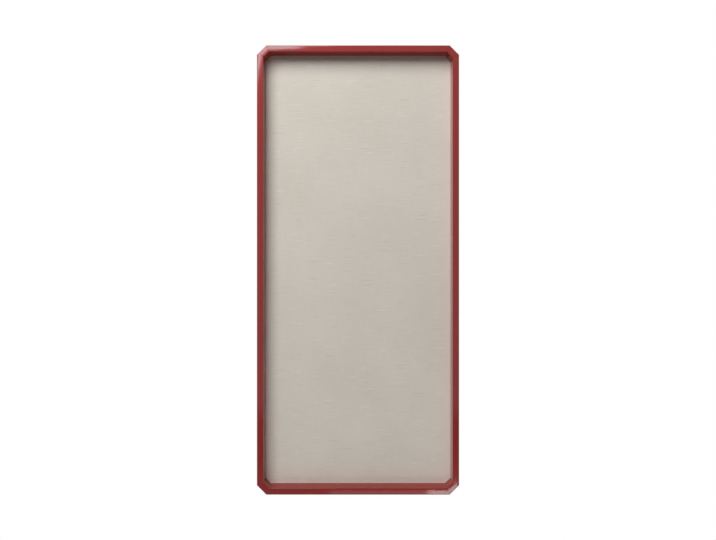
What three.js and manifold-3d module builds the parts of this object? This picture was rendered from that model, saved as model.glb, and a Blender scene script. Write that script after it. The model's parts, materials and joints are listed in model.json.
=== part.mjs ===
// A tall notice board: a linen-covered pinning panel set deep in a lacquered frame with clipped corners.
// The frame is eight mitred members held together by loose keys. The panel drops in from behind against
// a shoulder, a thin backing closes it, and turn buttons on screws hold both in. Two strap hangers with
// swinging rings carry the board, and a pad behind each clipped corner keeps it off the wall.
//
// Lengths are in millimetres. +X is to the right as seen from the front, +Y is towards the wall and
// +Z is up. The origin is the middle of the board, in the plane of the wall that the pads rest on.

import * as THREE from "three";
import { mergeVertices } from "three/addons/utils/BufferGeometryUtils.js";
import Module from "manifold-3d";

const wasm = await Module();
wasm.setup();

// Driving sizes of the whole board.
const boardWidth = 450;
const boardHeight = 1000;
const cornerClip = 21; // what a clipped corner takes off the width, and off the height
const clearance = 0.3; // between two pieces that touch
const cutOverrun = 2; // how far a cutting tool runs past the face it enters by

// The frame's section. u runs inwards from the outer side, and v back from the front face.
const faceWidth = 14.3;
const recessDepth = 33; // from the front face to the shoulder that the panel rests on
const wallDraft = 1; // how much further in the inner wall stands at the shoulder than at the face
const shoulderLap = 4; // how much of the panel's edge the shoulder covers
const outerArris = 2.5;
const innerArris = 0.6;
const backArris = 1;
const faceCrown = 0.05; // how far the face falls away at its two arrises
const arrisSegments = 4;

// The panel, from its front to its back.
const linenThickness = 0.75;
const coreThickness = 9;
const backingThickness = 3;
const linenTurnover = 18; // how far the linen runs back in over the rear of the core
const panelClearance = 0.5; // between the panel's edge and the frame, all round

// The loose keys across the mitres.
const keyLength = 12;
const keyThickness = 3;
const keyDepth = 24;
const keySetback = 9; // from the front face to the key

// The pan-head wood screws, all of one size.
const shankRadius = 1.5;
const shankLength = 12;
const tipLength = 3;
const headRadius = 2.9;
const headRim = 0.8;
const headHeight = 2;
const recessArm = 1.6; // half the length of the cross cut in the head
const recessSlot = 0.7;
const recessCut = 1.1;
const screwSegments = 12;

// The turn buttons: flat plates with a pressed rib, which turn on a screw.
const buttonReach = 20; // from the screw to the end that holds the backing
const buttonHalfWidth = 4.5;
const buttonThickness = 1.4;
const ribStart = 6;
const ribEnd = 16;
const ribHalfWidth = 1.2;
const ribHeight = 0.7;
const buttonToStrap = 12; // free space between a turned-up button and the strap above it
const railButtonInset = 115; // from the board's side to the buttons on the rails
const roundSegments = 6;

// The strap hangers: a folded strip round the straight bar of a D-shaped ring.
const hangerDrop = 110; // from the top of the board to the ring's pivot
const ringWire = 1.1; // radius of the ring's wire
const ringReach = 11.5; // from the pivot to the far side of the ring, between wire centres
const ringCorner = 1.8;
const stripThickness = 0.9;
const strapWidth = 8;
const strapLength = 38; // from the pivot to the rounded end
const strapFirstHole = 19.5;
const strapSecondHole = 31;
const hangerSideMargin = 0.5; // from the ring to the board's outer side
const wireSides = 8;
const bendSegments = 5;
const archSegments = 12;

// The wall pads.
const padHeight = 6; // from the back of the frame to the wall
const padRadius = 5;
const padTaper = 0.8;
const padArris = 0.7;
const padSegments = 18;

// Sizes that follow.
const mitreAngle = Math.PI / 8;
const sectionBackWidth = faceWidth + wallDraft - shoulderLap;
const linenDepth = linenThickness + clearance + coreThickness + clearance + linenThickness;
const rebateDepth = clearance + linenDepth + clearance + backingThickness + clearance;
const frameDepth = recessDepth + rebateDepth;
const frameBack = -padHeight;
const frameFront = frameBack - frameDepth;
const linenFront = frameFront + recessDepth + clearance;
const backingFront = linenFront + linenDepth + clearance;
const seat = frameBack + clearance; // the plane that what is screwed to the back lies on
const panelInset = sectionBackWidth + panelClearance;
const screwHole = shankRadius + clearance;
const strapThickness = 2 * stripThickness;
const barrelBore = ringWire + clearance;
const barrelRadius = barrelBore + stripThickness;
const ringHalfWidth = strapWidth / 2 + clearance + ringWire;
const hangerHeight = boardHeight / 2 - hangerDrop;
const stileButtonPitch = hangerHeight - strapLength - buttonToStrap - buttonReach;
const railButtonX = boardWidth / 2 - railButtonInset;
const hangerX = boardWidth / 2 - hangerSideMargin - ringWire - ringHalfWidth;

const lacquer = new THREE.MeshStandardMaterial({ color: 0x8e302d, roughness: 0.12, metalness: 0 });
const linen = new THREE.MeshStandardMaterial({ color: 0xc6bfb3, roughness: 0.9, metalness: 0 });
const softboard = new THREE.MeshStandardMaterial({ color: 0xb39a78, roughness: 0.95, metalness: 0 });
const hardboard = new THREE.MeshStandardMaterial({ color: 0x6f5138, roughness: 0.6, metalness: 0 });
const beech = new THREE.MeshStandardMaterial({ color: 0xc9a878, roughness: 0.7, metalness: 0 });
const platedSteel = new THREE.MeshStandardMaterial({ color: 0xc3c4c2, roughness: 0.3, metalness: 1 });
const blackRubber = new THREE.MeshStandardMaterial({ color: 0x1d1d1e, roughness: 0.8, metalness: 0 });

// A closed geometry as a solid that can be joined and cut.
function solidOf(geometry) {
  const bare = new THREE.BufferGeometry();
  const source = geometry.index ? geometry.toNonIndexed() : geometry;
  bare.setAttribute("position", source.getAttribute("position").clone());
  const merged = mergeVertices(bare);
  return new wasm.Manifold(
    new wasm.Mesh({
      numProp: 3,
      vertProperties: new Float32Array(merged.attributes.position.array),
      triVerts: new Uint32Array(merged.index.array),
    }),
  );
}

function geometryOf(solid) {
  const { numProp, numVert, vertProperties, triVerts } = solid.getMesh();
  const positions = new Float32Array(3 * numVert);
  for (let vertex = 0; vertex < numVert; vertex += 1) {
    positions.set(vertProperties.subarray(vertex * numProp, vertex * numProp + 3), 3 * vertex);
  }
  const geometry = new THREE.BufferGeometry();
  geometry.setAttribute("position", new THREE.BufferAttribute(positions, 3));
  geometry.setIndex(new THREE.BufferAttribute(new Uint32Array(triVerts), 1));
  const faceted = geometry.toNonIndexed();
  faceted.computeVertexNormals();
  return faceted;
}

function joined(geometry, ...others) {
  return geometryOf(others.reduce((whole, other) => whole.add(solidOf(other)), solidOf(geometry)));
}

function cutBy(geometry, ...tools) {
  return geometryOf(tools.reduce((rest, tool) => rest.subtract(solidOf(tool)), solidOf(geometry)));
}

// A flat outline, drawn in X and Z as seen from behind Y, as a plate from y = 0 back to y = thickness.
function plateOf(outline, thickness, curveSegments = roundSegments) {
  const plate = new THREE.ExtrudeGeometry(outline, { depth: thickness, bevelEnabled: false, curveSegments });
  return plate.rotateX(Math.PI / 2).translate(0, thickness, 0);
}

// The board's clipped outline, moved in by the same distance on all eight sides.
function boardOutline(inset) {
  const halfWidth = boardWidth / 2 - inset;
  const halfHeight = boardHeight / 2 - inset;
  const clip = cornerClip - (2 - Math.SQRT2) * inset;
  const outline = new THREE.Shape();
  outline.moveTo(clip - halfWidth, -halfHeight);
  outline.lineTo(halfWidth - clip, -halfHeight);
  outline.lineTo(halfWidth, clip - halfHeight);
  outline.lineTo(halfWidth, halfHeight - clip);
  outline.lineTo(halfWidth - clip, halfHeight);
  outline.lineTo(clip - halfWidth, halfHeight);
  outline.lineTo(-halfWidth, halfHeight - clip);
  outline.lineTo(-halfWidth, clip - halfHeight);
  return outline;
}

// A strip with round ends, from start to end along X.
function obround(start, end, halfWidth) {
  const outline = new THREE.Shape();
  outline.absarc(end - halfWidth, 0, halfWidth, -Math.PI / 2, Math.PI / 2, false);
  outline.absarc(start + halfWidth, 0, halfWidth, Math.PI / 2, 1.5 * Math.PI, false);
  return outline;
}

function rod(radius, from, to, segments = screwSegments) {
  const cylinder = new THREE.CylinderGeometry(radius, radius, to - from, segments);
  return cylinder.translate(0, (from + to) / 2, 0);
}

// The eight sides of the frame, clockwise from the top as seen from the front. A side's angle turns the
// top's outward direction to its own, and its middle is the middle of its outer edge.
const cornerX = (boardWidth - cornerClip) / 2;
const cornerZ = (boardHeight - cornerClip) / 2;
const cornerLength = cornerClip * Math.SQRT2;
const railLength = boardWidth - 2 * cornerClip;
const stileLength = boardHeight - 2 * cornerClip;
const eighthTurn = Math.PI / 4;
const sides = [
  { name: "frame_top_rail", middle: [0, boardHeight / 2], length: railLength },
  { name: "frame_corner_top_right", middle: [cornerX, cornerZ], length: cornerLength },
  { name: "frame_right_stile", middle: [boardWidth / 2, 0], length: stileLength },
  { name: "frame_corner_bottom_right", middle: [cornerX, -cornerZ], length: cornerLength },
  { name: "frame_bottom_rail", middle: [0, -boardHeight / 2], length: railLength },
  { name: "frame_corner_bottom_left", middle: [-cornerX, -cornerZ], length: cornerLength },
  { name: "frame_left_stile", middle: [-boardWidth / 2, 0], length: stileLength },
  { name: "frame_corner_top_left", middle: [-cornerX, cornerZ], length: cornerLength },
].map((side, index) => ({ ...side, angle: index * eighthTurn }));

// The direction that points out of the board at an angle clockwise from the top, as [x, z].
function outwards(angle) {
  return [Math.sin(angle), Math.cos(angle)];
}

function movedOut([x, z], angle, distance) {
  const [outX, outZ] = outwards(angle);
  return [x + outX * distance, z + outZ * distance];
}

// The section: a crowned face between two rounded arrises, a drafted inner wall down to the shoulder,
// and the narrower back part beside the panel.
function frameSection() {
  const section = new THREE.Shape();
  const wallSlope = wallDraft / recessDepth;
  section.moveTo(backArris, frameDepth);
  section.lineTo(0, frameDepth - backArris);
  section.lineTo(0, faceCrown + outerArris);
  section.quadraticCurveTo(0, faceCrown, outerArris, faceCrown);
  section.quadraticCurveTo(faceWidth / 2, -faceCrown, faceWidth - innerArris, faceCrown);
  section.quadraticCurveTo(
    faceWidth,
    faceCrown,
    faceWidth + wallSlope * (faceCrown + innerArris),
    faceCrown + innerArris,
  );
  section.lineTo(faceWidth + wallDraft, recessDepth);
  section.lineTo(sectionBackWidth, recessDepth);
  section.lineTo(sectionBackWidth, frameDepth);
  return section;
}

// A member's blank along X with its outer side on z = 0. Each end is moved to the mitre plane, which
// takes off tan(mitreAngle) of length for each unit further in.
function memberBlank(length) {
  const settings = { depth: 1, bevelEnabled: false, curveSegments: arrisSegments };
  const blank = new THREE.ExtrudeGeometry(frameSection(), settings);
  const place = blank.getAttribute("position");
  const glueGap = clearance / 2 / Math.cos(mitreAngle);
  for (let index = 0; index < place.count; index += 1) {
    const inwards = place.getX(index);
    const halfLength = length / 2 - inwards * Math.tan(mitreAngle) - glueGap;
    const along = place.getZ(index) > 1 / 2 ? halfLength : -halfLength;
    place.setXYZ(index, along, frameFront + place.getY(index), -inwards);
  }
  return blank;
}

// A key, or with some growth its slot, at the mitre that follows a side, in the board's frame.
function keyBox(side, growth) {
  const angle = side.angle + mitreAngle;
  const corner = movedOut(side.middle, side.angle + Math.PI / 2, side.length / 2);
  const [x, z] = movedOut(corner, angle, -sectionBackWidth / 2 / Math.cos(mitreAngle));
  const box = new THREE.BoxGeometry(keyLength + growth, keyDepth + growth, keyThickness + growth);
  box.translate(0, frameFront + keySetback + keyDepth / 2, 0);
  return box.rotateY(angle).translate(x, 0, z);
}

// Where the turn buttons sit. Each one points into the board from the middle of a member's back.
const stileButtonX = boardWidth / 2 - sectionBackWidth / 2;
const railButtonZ = boardHeight / 2 - sectionBackWidth / 2;
const buttonPlaces = [
  ...[-1, 0, 1].map((step) => ({ side: "left", x: -stileButtonX, z: step * stileButtonPitch, turn: 0 })),
  ...[-1, 0, 1].map((step) => ({
    side: "right",
    x: stileButtonX,
    z: step * stileButtonPitch,
    turn: Math.PI,
  })),
  ...[-1, 1].map((step) => ({ side: "top", x: step * railButtonX, z: railButtonZ, turn: Math.PI / 2 })),
  ...[-1, 1].map((step) => ({ side: "bottom", x: step * railButtonX, z: -railButtonZ, turn: -Math.PI / 2 })),
];

const hangers = [
  { side: "left", x: -hangerX },
  { side: "right", x: hangerX },
];

// Where the screws sit, and the plane that the underside of each one's head lies on.
const screwPlaces = [
  ...buttonPlaces.map(({ x, z }) => ({ x, z, under: seat + buttonThickness + clearance })),
  ...hangers.flatMap(({ x }) =>
    [strapFirstHole, strapSecondHole].map((down) => ({
      x,
      z: hangerHeight - down,
      under: seat + strapThickness + clearance,
    })),
  ),
];

// A pilot hole for a screw in the back of the frame, a clearance longer than the screw.
function pilotHole({ x, z, under }) {
  return rod(screwHole, under - shankLength - clearance, frameBack + cutOverrun).translate(x, 0, z);
}

const board = new THREE.Group();

function add(name, geometry, material, x = 0, y = 0, z = 0) {
  const mesh = new THREE.Mesh(geometry, material);
  mesh.name = name;
  mesh.position.set(x, y, z);
  board.add(mesh);
  return mesh;
}

// The frame: each blank is set in place, and the key slots and the screws' pilot holes are cut in it.
sides.forEach((side, index) => {
  const [x, z] = side.middle;
  const member = add(side.name, memberBlank(side.length), lacquer, x, 0, z);
  member.rotation.y = side.angle;
  member.updateMatrix();
  const back = member.matrix.clone().invert();
  const neighbour = sides[(index + sides.length - 1) % sides.length];
  const slots = [side, neighbour].map((owner) => keyBox(owner, 2 * clearance));
  const reach = side.length / 2 + sectionBackWidth;
  const holes = screwPlaces
    .map((place) => ({ place, local: new THREE.Vector3(place.x, 0, place.z).applyMatrix4(back) }))
    .filter(({ local }) => Math.abs(local.x) < reach && local.z < 0 && local.z > -sectionBackWidth)
    .map(({ place }) => pilotHole(place));
  member.geometry = cutBy(member.geometry, ...[...slots, ...holes].map((tool) => tool.applyMatrix4(back)));
});

sides.forEach((side, index) => add(`mitre_key_${index + 1}`, keyBox(side, 0), beech));

// The linen: one sheet over the front of the core, round its edge and back in over its rear.
const linenCover = cutBy(
  plateOf(boardOutline(panelInset), linenDepth),
  plateOf(boardOutline(panelInset + linenThickness), linenDepth - 2 * linenThickness).translate(
    0,
    linenThickness,
    0,
  ),
  plateOf(boardOutline(panelInset + linenTurnover), linenThickness + cutOverrun).translate(
    0,
    linenDepth - linenThickness - clearance,
    0,
  ),
);
add("linen_cover", linenCover, linen, 0, linenFront);
add(
  "pin_core",
  plateOf(boardOutline(panelInset + linenThickness + clearance), coreThickness),
  softboard,
  0,
  linenFront + linenThickness + clearance,
);
add("backing_panel", plateOf(boardOutline(panelInset), backingThickness), hardboard, 0, backingFront);

// A turn button lying on y = 0, with its screw hole at the origin and its holding end along +X.
function turnButton() {
  const outline = obround(-buttonHalfWidth, buttonReach, buttonHalfWidth);
  const hole = new THREE.Path();
  hole.absarc(0, 0, screwHole, 0, 2 * Math.PI, false);
  outline.holes.push(hole);
  const rib = plateOf(obround(ribStart, ribEnd, ribHalfWidth), buttonThickness / 2 + ribHeight);
  return joined(plateOf(outline, buttonThickness), rib.translate(0, buttonThickness / 2, 0));
}

// A pan-head screw with the underside of its head on y = 0 and its point down -Y.
function panHeadScrew() {
  const outline = new THREE.Path();
  outline.moveTo(0, -shankLength);
  outline.lineTo(shankRadius, tipLength - shankLength);
  outline.lineTo(shankRadius, 0);
  outline.lineTo(headRadius, 0);
  outline.lineTo(headRadius, headRim);
  outline.quadraticCurveTo(headRadius, headHeight, 0, headHeight);
  const body = new THREE.LatheGeometry(outline.getPoints(arrisSegments), screwSegments);
  const cutHeight = recessCut + cutOverrun;
  const arms = [0, Math.PI / 2].map((turn) =>
    new THREE.BoxGeometry(2 * recessArm, cutHeight, recessSlot)
      .rotateY(turn)
      .translate(0, headHeight - recessCut + cutHeight / 2, 0),
  );
  return cutBy(body, ...arms);
}

const buttonCount = {};
buttonPlaces.forEach(({ side, x, z, turn }) => {
  buttonCount[side] = (buttonCount[side] ?? 0) + 1;
  const button = add(`turn_button_${side}_${buttonCount[side]}`, turnButton(), platedSteel, x, seat, z);
  button.rotation.y = turn;
});

screwPlaces.forEach(({ x, z, under }, index) => {
  const owner = index < buttonPlaces.length ? "button_screw" : "hanger_screw";
  const number = index < buttonPlaces.length ? index + 1 : index + 1 - buttonPlaces.length;
  add(`${owner}_${number}`, panHeadScrew(), platedSteel, x, under, z);
});

// A strap with its barrel's axis on the origin and its plate down -Z. The plate is trimmed off level with
// the barrel's axis, joined to the barrel, and bored and drilled with it.
function hangerStrap() {
  const plateBack = -barrelRadius;
  const barrel = rod(barrelRadius, -strapWidth / 2, strapWidth / 2, 2 * screwSegments).rotateZ(Math.PI / 2);
  const plate = plateOf(obround(-strapLength, strapWidth / 2, strapWidth / 2), strapThickness)
    .rotateY(-Math.PI / 2)
    .translate(0, plateBack, 0);
  const bore = rod(barrelBore, -strapWidth, strapWidth, 2 * screwSegments).rotateZ(Math.PI / 2);
  const topTrim = new THREE.BoxGeometry(2 * strapWidth, 2 * strapThickness, 2 * strapWidth);
  const trimmed = cutBy(plate, topTrim.translate(0, plateBack + strapThickness / 2, strapWidth));
  const holes = [strapFirstHole, strapSecondHole].map((down) =>
    rod(screwHole, plateBack - cutOverrun, plateBack + strapThickness + cutOverrun).translate(0, 0, -down),
  );
  return cutBy(joined(barrel, trimmed), bore, ...holes);
}

// A closed tube along a closed flat path drawn in X and Z: a ring of points at each point of the path,
// in the plane between the path's side direction there and Y.
function closedWire(path, radius) {
  const count = path.length;
  const positions = [];
  path.forEach((point, index) => {
    const before = path[(index + count - 1) % count];
    const after = path[(index + 1) % count];
    const along = after.clone().sub(before).normalize();
    for (let step = 0; step < wireSides; step += 1) {
      const angle = (2 * Math.PI * step) / wireSides;
      const aside = radius * Math.cos(angle);
      positions.push(point.x + along.y * aside, radius * Math.sin(angle), point.y - along.x * aside);
    }
  });
  const indices = [];
  for (let ring = 0; ring < count; ring += 1) {
    for (let step = 0; step < wireSides; step += 1) {
      const next = (step + 1) % wireSides;
      const here = ring * wireSides;
      const there = ((ring + 1) % count) * wireSides;
      indices.push(here + step, here + next, there + step);
      indices.push(here + next, there + next, there + step);
    }
  }
  const wire = new THREE.BufferGeometry();
  wire.setAttribute("position", new THREE.Float32BufferAttribute(positions, 3));
  wire.setIndex(indices);
  wire.computeVertexNormals();
  return wire;
}

// The ring's centreline: a bar along X through the origin, two arms down and a half-round arch.
function ringPath() {
  const path = new THREE.Path();
  path.moveTo(-ringHalfWidth + ringCorner, 0);
  path.lineTo(ringHalfWidth - ringCorner, 0);
  path.quadraticCurveTo(ringHalfWidth, 0, ringHalfWidth, -ringCorner);
  path.absarc(0, ringHalfWidth - ringReach, ringHalfWidth, 0, -Math.PI, true);
  path.lineTo(-ringHalfWidth, -ringCorner);
  path.quadraticCurveTo(-ringHalfWidth, 0, ringCorner - ringHalfWidth, 0);
  const points = path.curves.flatMap((curve) => {
    if (curve.isLineCurve) return curve.getPoints(1).slice(1);
    return curve.getPoints(curve.isEllipseCurve ? archSegments : bendSegments).slice(1);
  });
  return points;
}

// The ring hangs down against its strap, tilted back just enough for its arch to lie on the plate.
const pivotY = seat + barrelRadius;
const archLift = strapThickness + clearance + ringWire - barrelRadius;
const ringTilt = Math.asin(archLift / ringReach);
hangers.forEach(({ side, x }) => {
  add(`hanger_strap_${side}`, hangerStrap(), platedSteel, x, pivotY, hangerHeight);
  const wire = closedWire(ringPath(), ringWire);
  const ring = add(`hanger_ring_${side}`, wire, platedSteel, x, pivotY, hangerHeight);
  ring.rotation.x = ringTilt;
});

// The pads: squat tapered buttons with a rounded edge and a flat face against the wall.
function wallPad() {
  const height = padHeight - clearance;
  const outline = new THREE.Path();
  outline.moveTo(0, 0);
  outline.lineTo(padRadius, 0);
  outline.lineTo(padRadius - padTaper, height - padArris);
  outline.quadraticCurveTo(padRadius - padTaper, height, padRadius - padTaper - padArris, height);
  outline.lineTo(0, height);
  return new THREE.LatheGeometry(outline.getPoints(arrisSegments), padSegments);
}

sides
  .filter(({ name }) => name.includes("corner"))
  .forEach(({ name, middle, angle }) => {
    const [x, z] = movedOut(middle, angle, -sectionBackWidth / 2);
    add(name.replace("frame_corner", "wall_pad"), wallPad(), blackRubber, x, seat, z);
  });

export default board;
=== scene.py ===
"""A tall notice board: slub linen over a softboard core, set deep in a glossy dark red frame with clipped
corners. Behind it are a hardboard backing, turn buttons on screws, two strap hangers with swinging rings and
a rubber pad at each corner.

Lengths are in metres. +X is to the right as seen from the front, +Y is towards the wall and +Z is up.
A section is written as pairs of u, inwards from a member's outer side, and v, back from the front face.
"""

import json
import math

import bmesh
import bpy
import numpy as np
from mathutils import Matrix, Vector
from mathutils.geometry import tessellate_polygon


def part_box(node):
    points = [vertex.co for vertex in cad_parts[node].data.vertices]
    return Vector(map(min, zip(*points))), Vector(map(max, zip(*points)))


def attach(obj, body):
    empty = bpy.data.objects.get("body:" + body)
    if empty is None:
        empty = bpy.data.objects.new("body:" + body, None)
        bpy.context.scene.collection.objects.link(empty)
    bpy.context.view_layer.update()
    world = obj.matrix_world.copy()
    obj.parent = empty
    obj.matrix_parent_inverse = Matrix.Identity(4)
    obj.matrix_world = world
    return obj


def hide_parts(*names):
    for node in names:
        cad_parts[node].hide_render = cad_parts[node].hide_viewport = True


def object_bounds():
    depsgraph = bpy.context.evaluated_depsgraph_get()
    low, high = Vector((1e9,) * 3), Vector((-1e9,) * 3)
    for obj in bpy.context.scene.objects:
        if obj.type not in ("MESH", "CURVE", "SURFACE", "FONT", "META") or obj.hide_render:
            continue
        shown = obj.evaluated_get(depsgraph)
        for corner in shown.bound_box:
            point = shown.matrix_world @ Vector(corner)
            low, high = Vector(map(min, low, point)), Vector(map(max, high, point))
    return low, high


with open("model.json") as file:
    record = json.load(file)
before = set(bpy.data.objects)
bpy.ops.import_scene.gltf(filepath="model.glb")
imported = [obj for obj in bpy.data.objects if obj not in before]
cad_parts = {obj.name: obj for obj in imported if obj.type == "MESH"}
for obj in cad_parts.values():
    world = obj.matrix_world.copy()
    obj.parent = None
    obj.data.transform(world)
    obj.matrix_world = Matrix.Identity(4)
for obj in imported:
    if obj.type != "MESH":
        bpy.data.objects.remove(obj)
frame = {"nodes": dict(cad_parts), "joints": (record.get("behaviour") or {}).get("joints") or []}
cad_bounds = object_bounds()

# Places taken from the frame.
WIDTH = cad_bounds[1].x - cad_bounds[0].x
HEIGHT = cad_bounds[1].z - cad_bounds[0].z
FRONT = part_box("frame_top_rail")[0].y
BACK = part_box("frame_top_rail")[1].y
LINEN_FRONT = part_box("linen_cover")[0].y
LINEN_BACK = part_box("linen_cover")[1].y
LINEN_INSET = WIDTH / 2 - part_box("linen_cover")[1].x
PIVOTS = {joint["child"]: Vector(joint["pos_m"]) for joint in frame["joints"]}

CREASE = math.radians(35)  # edges sharper than this stay sharp

# The frame's section.
CLIP = 0.021
FACE = 0.0143
RECESS = 0.033
WALL_DRAFT = 0.001
SHOULDER_LAP = 0.004
OUTER_ARRIS = 0.0015
INNER_ARRIS = 0.0006
BACK_ARRIS = 0.001
FACE_CROWN = 0.0001
MITRE = math.radians(22.5)
MITRE_GAP = 0.00004
MITRE_ARRIS = 0.00016
RING_PITCH = 0.006
LACQUER_SWELL = 0.00004
CLEARANCE = 0.0003
KEY_THICKNESS = 0.003
KEY_DEPTH = 0.024
KEY_SETBACK = 0.009
KEY_LENGTH = 0.012

# The linen.
CLOTH_THICKNESS = 0.00075
CLOTH_BEND = 0.0015
CLOTH_TURNOVER = 0.018
CLOTH_SWELL = 0.0002
# The swell dies out over a 20th of the half width and a 40th of the half height.
CLOTH_SIDE_FADE = 20
CLOTH_END_FADE = 40
WEFT_WAVES = 262  # 834 threads a metre up the board
WARP_WAVES = 285  # 907 threads a metre across it
CLOTH_SPAN = 1.2  # the length of cloth that the pattern's map covers, both ways
CLOTH_COLUMNS = 86
CLOTH_SIDE_ROWS = 300
CLOTH_CORNER_ROWS = 6

# The turn buttons.
BUTTON_REACH = 0.020
BUTTON_HALF_WIDTH = 0.0045
BUTTON_THICKNESS = 0.0014
BUTTON_EDGE = 0.0003
RIB_START = 0.006
RIB_END = 0.016
RIB_HALF_WIDTH = 0.0016
RIB_HEIGHT = 0.0007

# The screws.
SCREW_HOLE = 0.0018
SHANK_RADIUS = 0.0015
THREAD_ROOT = 0.0011
THREAD_PITCH = 0.0012
SHANK_LENGTH = 0.012
TIP_LENGTH = 0.003
HEAD_RADIUS = 0.0029
HEAD_RIM = 0.0008
HEAD_HEIGHT = 0.002
CROSS_ARM = 0.0016
CROSS_SLOT = 0.0007
CROSS_DEPTH = 0.0011
CROSS_TAPER = 0.35
RIDGE_STEEPNESS = 1.6

# The strap hangers.
STRIP_THICKNESS = 0.0009
STRIP_EDGE = 0.00012
BARREL_TURN = math.radians(55)
COUNTER_BEND = 0.0012
STRAP_HALF_WIDTH = 0.004
STRAP_LENGTH = 0.038
STRAP_HOLES = (0.0195, 0.031)
RING_WIRE = 0.0011
RING_REACH = 0.0115
RING_CORNER = 0.0018
BARREL_RADIUS = RING_WIRE + CLEARANCE + STRIP_THICKNESS

# The pads.
PAD_RADIUS = 0.005
PAD_TAPER = 0.0008
PAD_ARRIS = 0.0007

# The camera, at the height and distance that show the frame's inner walls as photographed.
CAMERA_DISTANCE = 1.61
CAMERA_RISE = 0.065
CAMERA_LENS = 36.4
SENSOR = 36.0
PIXELS_PER_METRE = 449.0
PHOTO_PIXELS = 716

# The lamps: name, lowest and highest corner of the flat box that each fills, radiance, and how it hangs.
KEY_Y = FRONT - 2.64
LOW_Y = FRONT - 0.7
BACK_Y = 4.0
SIDE_X = 3.0
COOL = (0.80, 1.02, 1.12)
LAMPS = (
    ("key_softbox", (-2.68, KEY_Y, 1.42), (-0.185, KEY_Y, 4.49), 9.5, {}),
    ("key_corner", (-0.80, KEY_Y, 1.17), (-0.34, KEY_Y, 1.42), 9.0, {"colour": COOL}),
    ("key_tail", (-1.15, KEY_Y, 1.03), (-0.36, KEY_Y, 1.15), 9.0, {"colour": COOL, "lean": -22}),
    ("key_spill", (-0.185, KEY_Y, 1.42), (1.25, KEY_Y, 4.49), 0.75, {}),
    ("low_reflector", (0.225, LOW_Y, -0.86), (0.36, LOW_Y, -0.712), 7.5, {}),
    ("low_glow", (-0.09, LOW_Y, -0.86), (0.225, LOW_Y, -0.712), 1.0, {}),
    ("back_softbox", (-3.6, BACK_Y, 1.4), (1.8, BACK_Y, 4.6), 1.8, {"aim": "-Y"}),
    ("side_softbox", (SIDE_X, 0.1, -0.6), (SIDE_X, 3.4, 2.8), 1.25, {"aim": "-X"}),
)
AMBIENT_COLOUR = (1.0, 0.96, 0.90, 1)
AMBIENT_STRENGTH = 0.03

# The floor, which stays below the photograph's view.
FLOOR_DROP = 1.2
FLOOR_NEAR = FRONT - 3.7
FLOOR_FAR = 1.3
FLOOR_HALF_WIDTH = 1.5
FLOOR_GLOW = 0.31


def curve(start, lean, end, steps):
    """Points of (1-t)^2 start + 2t(1-t) lean + t^2 end for t from 0 up to 1, without the end itself."""
    t = np.linspace(0, 1, steps, endpoint=False)[:, None]
    return (1 - t) ** 2 * np.array(start) + 2 * t * (1 - t) * np.array(lean) + t**2 * np.array(end)


def straight(start, end, steps):
    """Points of (1-t) start + t end for t from 0 up to 1, without the end itself."""
    t = np.linspace(0, 1, steps, endpoint=False)[:, None]
    return (1 - t) * np.array(start) + t * np.array(end)


def quads(rows, columns, wrap_rows=False, wrap_columns=False):
    """Four-cornered faces between neighbours on a grid of points. A wrapped way joins its last line to its
    first."""
    row = np.arange(rows if wrap_rows else rows - 1)[:, None]
    column = np.arange(columns if wrap_columns else columns - 1)[None, :]
    next_row, next_column = (row + 1) % rows, (column + 1) % columns
    corners = (
        row * columns + column,
        row * columns + next_column,
        next_row * columns + next_column,
        next_row * columns + column,
    )
    return np.stack(np.broadcast_arrays(*corners), axis=-1).reshape(-1, 4)


def uneven(along, across, start):
    """A soft unevenness from 0 to 1: the halved sum of crossing waves of unlike lengths and phases."""
    waves = ((0.190, 9, 0.34), (0.083, 41, 0.27), (0.047, -67, 0.22), (0.031, 120, 0.17))
    total = sum(
        share * np.sin(2 * np.pi * (along / length + across * turns) + start * (order + 1) * 1.7)
        for order, (length, turns, share) in enumerate(waves)
    )
    return (1 + total) / 2


def piece(name, points, faces, finishes, body, stands_for, closed=True):
    """A mesh object of points and faces, with its seams closed and its faces pointing out, which rides on a
    body in place of the CAD nodes it stands for."""
    mesh = bpy.data.meshes.new(name)
    corners = np.asarray(points, float).reshape(-1, 3).tolist()
    mesh.from_pydata(corners, [], [list(map(int, face)) for face in faces])
    if closed:
        close_up(mesh)
    mesh.polygons.foreach_set("use_smooth", np.ones(len(mesh.polygons), bool))
    mesh.set_sharp_from_angle(angle=CREASE)
    for finish in finishes:
        mesh.materials.append(finish)
    made = bpy.data.objects.new(name, mesh)
    bpy.context.scene.collection.objects.link(made)
    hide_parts(*stands_for)
    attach(made, body)
    return made


def close_up(mesh):
    """Merges the doubled points of a mesh's seams and poles, and turns its faces outwards."""
    shape = bmesh.new()
    shape.from_mesh(mesh)
    bmesh.ops.remove_doubles(shape, verts=shape.verts, dist=1e-7)
    bmesh.ops.recalc_face_normals(shape, faces=shape.faces)
    shape.to_mesh(mesh)
    shape.free()


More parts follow.
